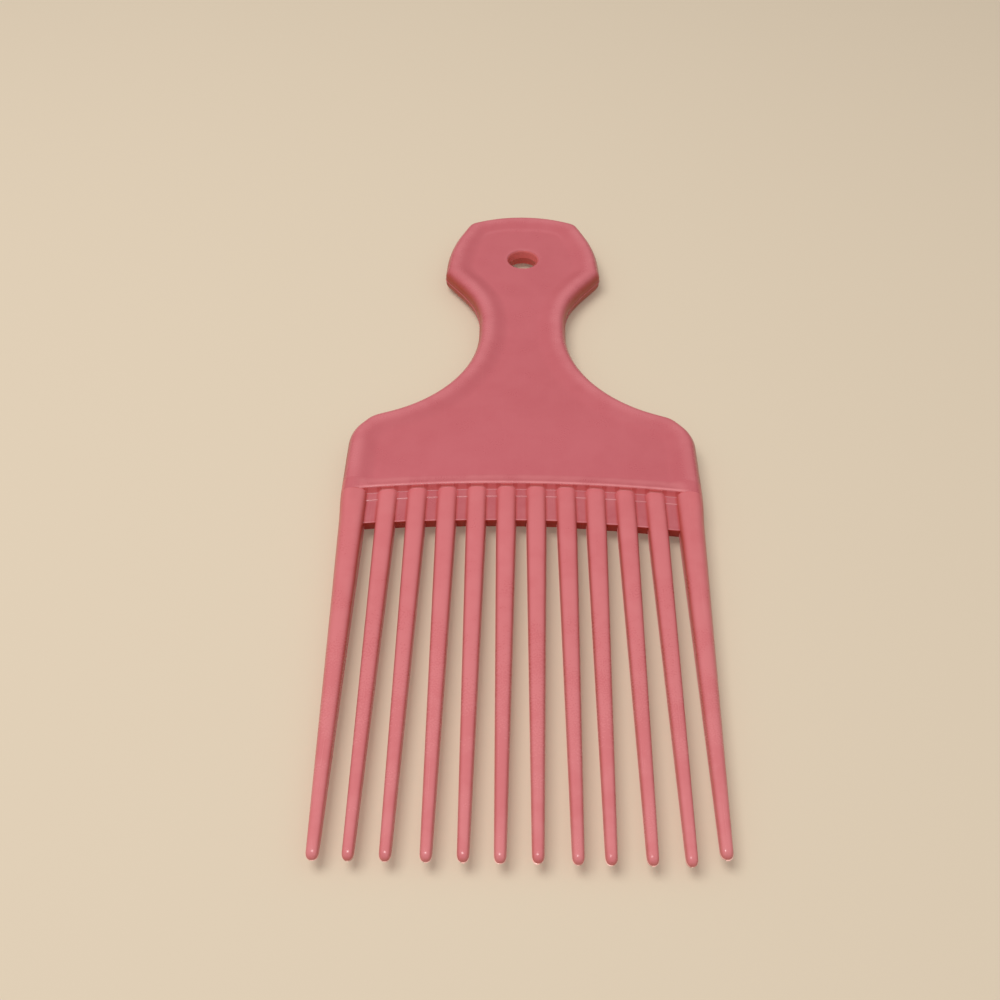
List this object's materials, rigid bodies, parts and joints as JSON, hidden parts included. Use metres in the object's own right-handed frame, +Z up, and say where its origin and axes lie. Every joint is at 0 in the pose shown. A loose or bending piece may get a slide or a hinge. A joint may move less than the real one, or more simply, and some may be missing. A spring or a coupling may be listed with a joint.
{
  "type": "afro pick",
  "caption": "Wide-toothed hair pick: a dished flat handle with a waisted grip and hanging hole, a bowed cross rib, and a row of long tapered tines with round tips.",
  "frame": {"origin": "centre of the bottom of the bounding box, under the middle of the pick as it lies flat", "axes": "+Y along the pick from the tine tips to the top of the grip, +Z up out of the flat face, +X across the tines, to the right when the grip is at the top"},
  "size_m": [0.071, 0.17, 0.006],
  "materials": {
    "body": "semi-matte moulded dusty-pink plastic"
  },
  "bodies": {
    "root": {"handle_rim": "body", "handle_panel": "body", "cross_rib": "body", "tooth_web": "body", "guard_tine_left": "body", "guard_tine_right": "body", "tine_01": "body", "tine_02": "body", "tine_03": "body", "tine_04": "body", "tine_05": "body", "tine_06": "body", "tine_07": "body", "tine_08": "body", "tine_09": "body", "tine_10": "body"}
  },
  "joints": []
}
